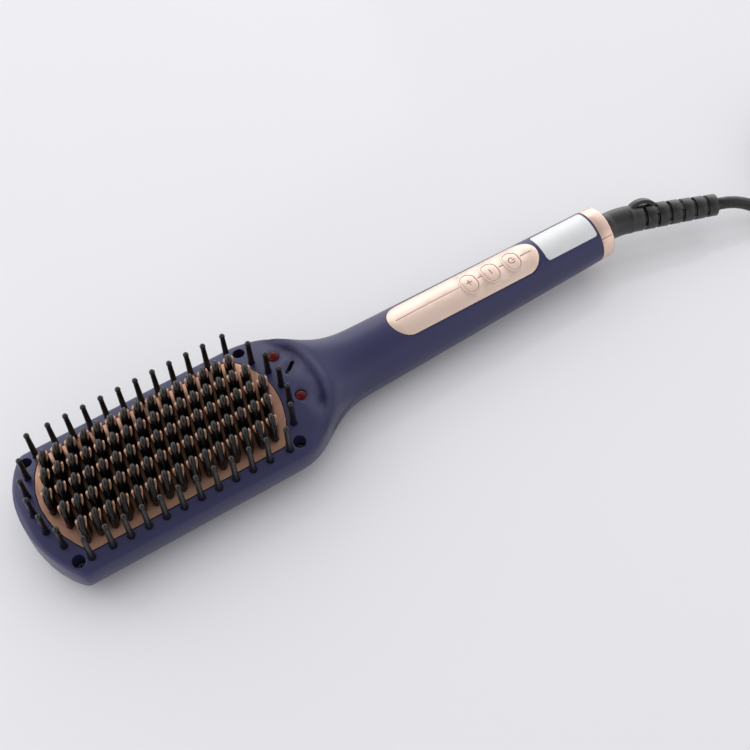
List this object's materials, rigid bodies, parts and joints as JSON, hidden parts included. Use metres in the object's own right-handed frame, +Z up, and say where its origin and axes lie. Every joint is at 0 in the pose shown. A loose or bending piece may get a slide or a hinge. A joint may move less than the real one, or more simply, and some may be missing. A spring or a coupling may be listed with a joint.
{
  "type": "steam hair straightener brush",
  "caption": "Heated hair straightening brush with a slotted comb plate, guard bristles, a round handle with a three-button panel, and a swivelling mains cord.",
  "frame": {"origin": "under the middle of the brush's length, on the surface it lies on (cord not counted)", "axes": "+X from the head's tip towards the cord, +Z up out of the bristles, +Y across the head"},
  "size_m": [0.5251, 0.1014, 0.0451],
  "materials": {
    "soft_navy": "satin soft-touch paint",
    "rose_plate": "satin anodised rose gold",
    "black_nylon": "satin",
    "dark_steel": "blackened",
    "cast_aluminium": "cast",
    "white_ceramic": "matt",
    "mica": "flaky",
    "spring_steel": "rolled",
    "amber_glass": "glossy",
    "potting": "moulded",
    "ruby_lens": "clear glossy",
    "led_epoxy": "clear",
    "green_board": "solder mask",
    "rose_gloss": "glossy rose gold",
    "white_sleeve": "braided glass sleeve",
    "silver_film": "satin film",
    "boot_rubber": "satin",
    "cord_sheath": "satin",
    "nickel": "bright nickel"
  },
  "bodies": {
    "housing": {"front_shell": "soft_navy", "rear_shell": "soft_navy", "heating_plate": "rose_plate", "tooth_comb": "black_nylon", "bristle_frame": "black_nylon", "head_screws": "dark_steel", "heat_spreader": "cast_aluminium", "ceramic_heater": "white_ceramic", "mica_sheet": "mica", "heater_clamp": "spring_steel", "clamp_screws": "spring_steel", "thermal_fuse": "spring_steel", "temperature_sensor": "amber_glass", "ion_emitter": "black_nylon", "ion_generator": "potting", "lamp_lenses": "ruby_lens", "lamp_leds": "led_epoxy", "lamp_board": "green_board", "control_panel": "rose_gloss", "key_switches": "potting", "control_board": "green_board", "board_screws": "spring_steel", "board_parts": "potting", "heater_leads": "white_sleeve", "label_film": "silver_film", "tail_collar": "rose_gloss", "tail_bush": "black_nylon"},
    "plus": {"plus_button": "rose_gloss"},
    "minus": {"minus_button": "rose_gloss"},
    "power": {"power_button": "rose_gloss"},
    "cord": {"swivel_barrel": "black_nylon", "barrel_clip": "spring_steel", "cable_boot": "boot_rubber", "cord_lead": "cord_sheath", "cord_coil": "cord_sheath", "coil_tie": "boot_rubber", "plug_body": "cord_sheath", "plug_pins": "nickel"}
  },
  "joints": [
    {"name": "plus_press", "type": "slide", "parent": "housing", "child": "plus", "axis": [0, 0, -1], "range_m": [0, 0.0004], "stiffness_N_per_m": 3000, "springref_m": -0.0001},
    {"name": "minus_press", "type": "slide", "parent": "housing", "child": "minus", "axis": [0, 0, -1], "range_m": [0, 0.0004], "stiffness_N_per_m": 3000, "springref_m": -0.0001},
    {"name": "power_press", "type": "slide", "parent": "housing", "child": "power", "axis": [0, 0, -1], "range_m": [0, 0.0004], "stiffness_N_per_m": 3000, "springref_m": -0.0001},
    {"name": "cord_swivel", "type": "hinge", "parent": "housing", "child": "cord", "pos_m": [0.15, 0, 0.02035], "axis": [-1, 0, 0], "continuous": true}
  ]
}
